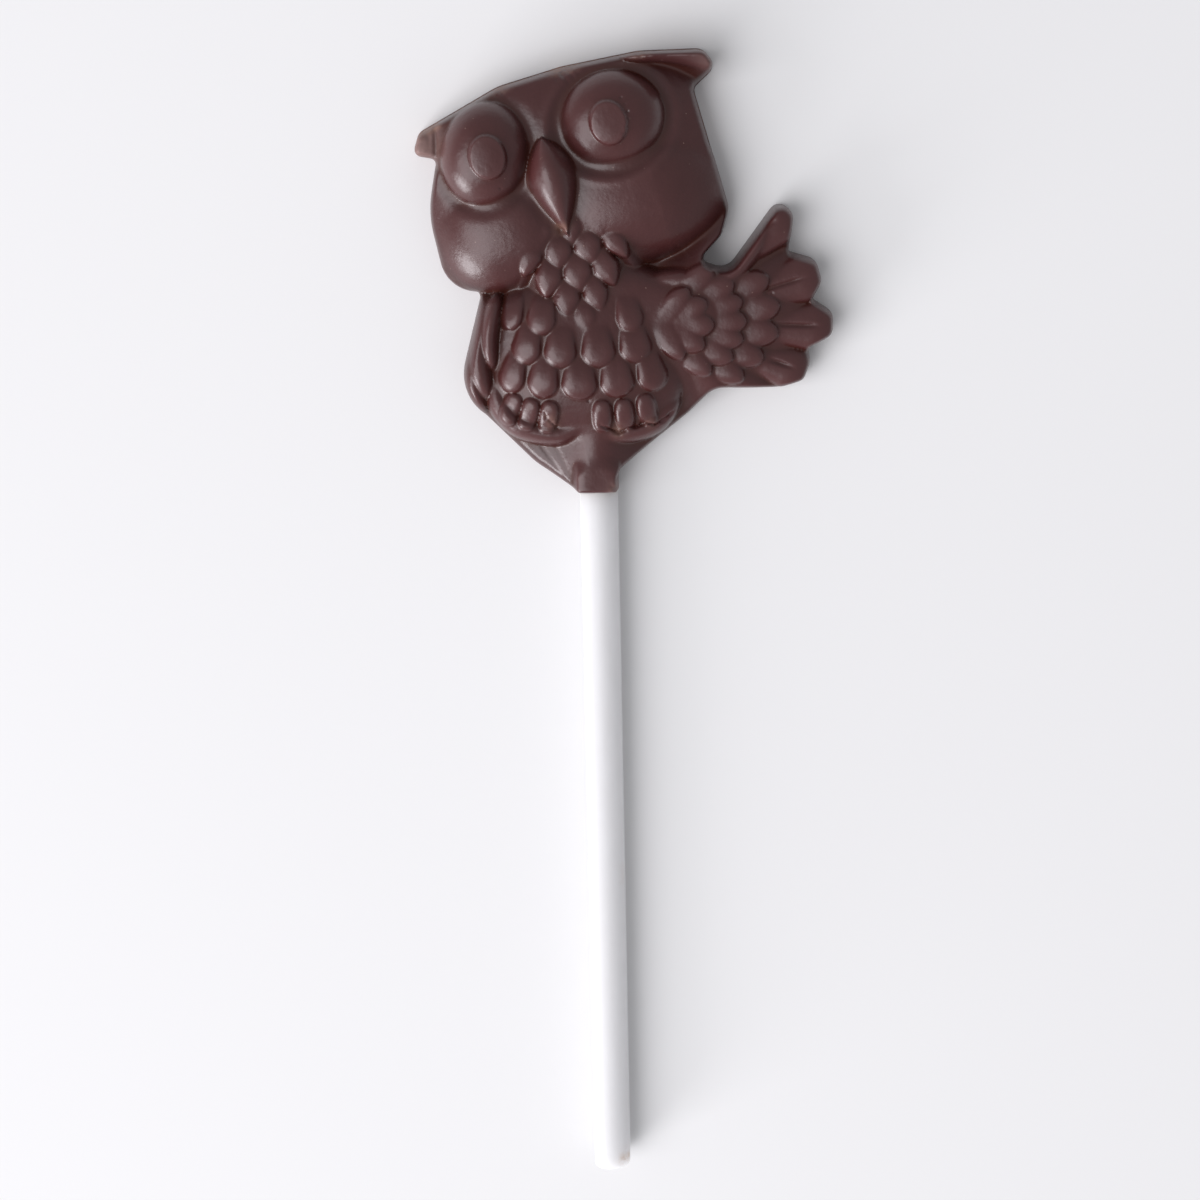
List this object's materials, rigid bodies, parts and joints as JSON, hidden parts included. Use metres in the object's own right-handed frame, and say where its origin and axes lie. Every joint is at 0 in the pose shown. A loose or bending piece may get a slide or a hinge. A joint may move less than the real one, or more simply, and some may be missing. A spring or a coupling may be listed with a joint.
{
  "type": "moulded chocolate lollipop",
  "caption": "Moulded milk chocolate owl with a flat back and raised wing, cast on a plain white rolled paper stick.",
  "frame": {"origin": "on the flat back of the chocolate, under the line of the stick and 2 mm short of its inner end", "axes": "+X toward the tip of the raised wing, +Y along the stick toward the head, +Z out of the flat back toward the shown face"},
  "size_m": [0.0485, 0.1384, 0.0108],
  "materials": {
    "chocolate": null,
    "stick_paper": "matt white rolled paper"
  },
  "bodies": {
    "root": {"chocolate_owl": "chocolate", "paper_stick": "stick_paper"}
  },
  "joints": []
}
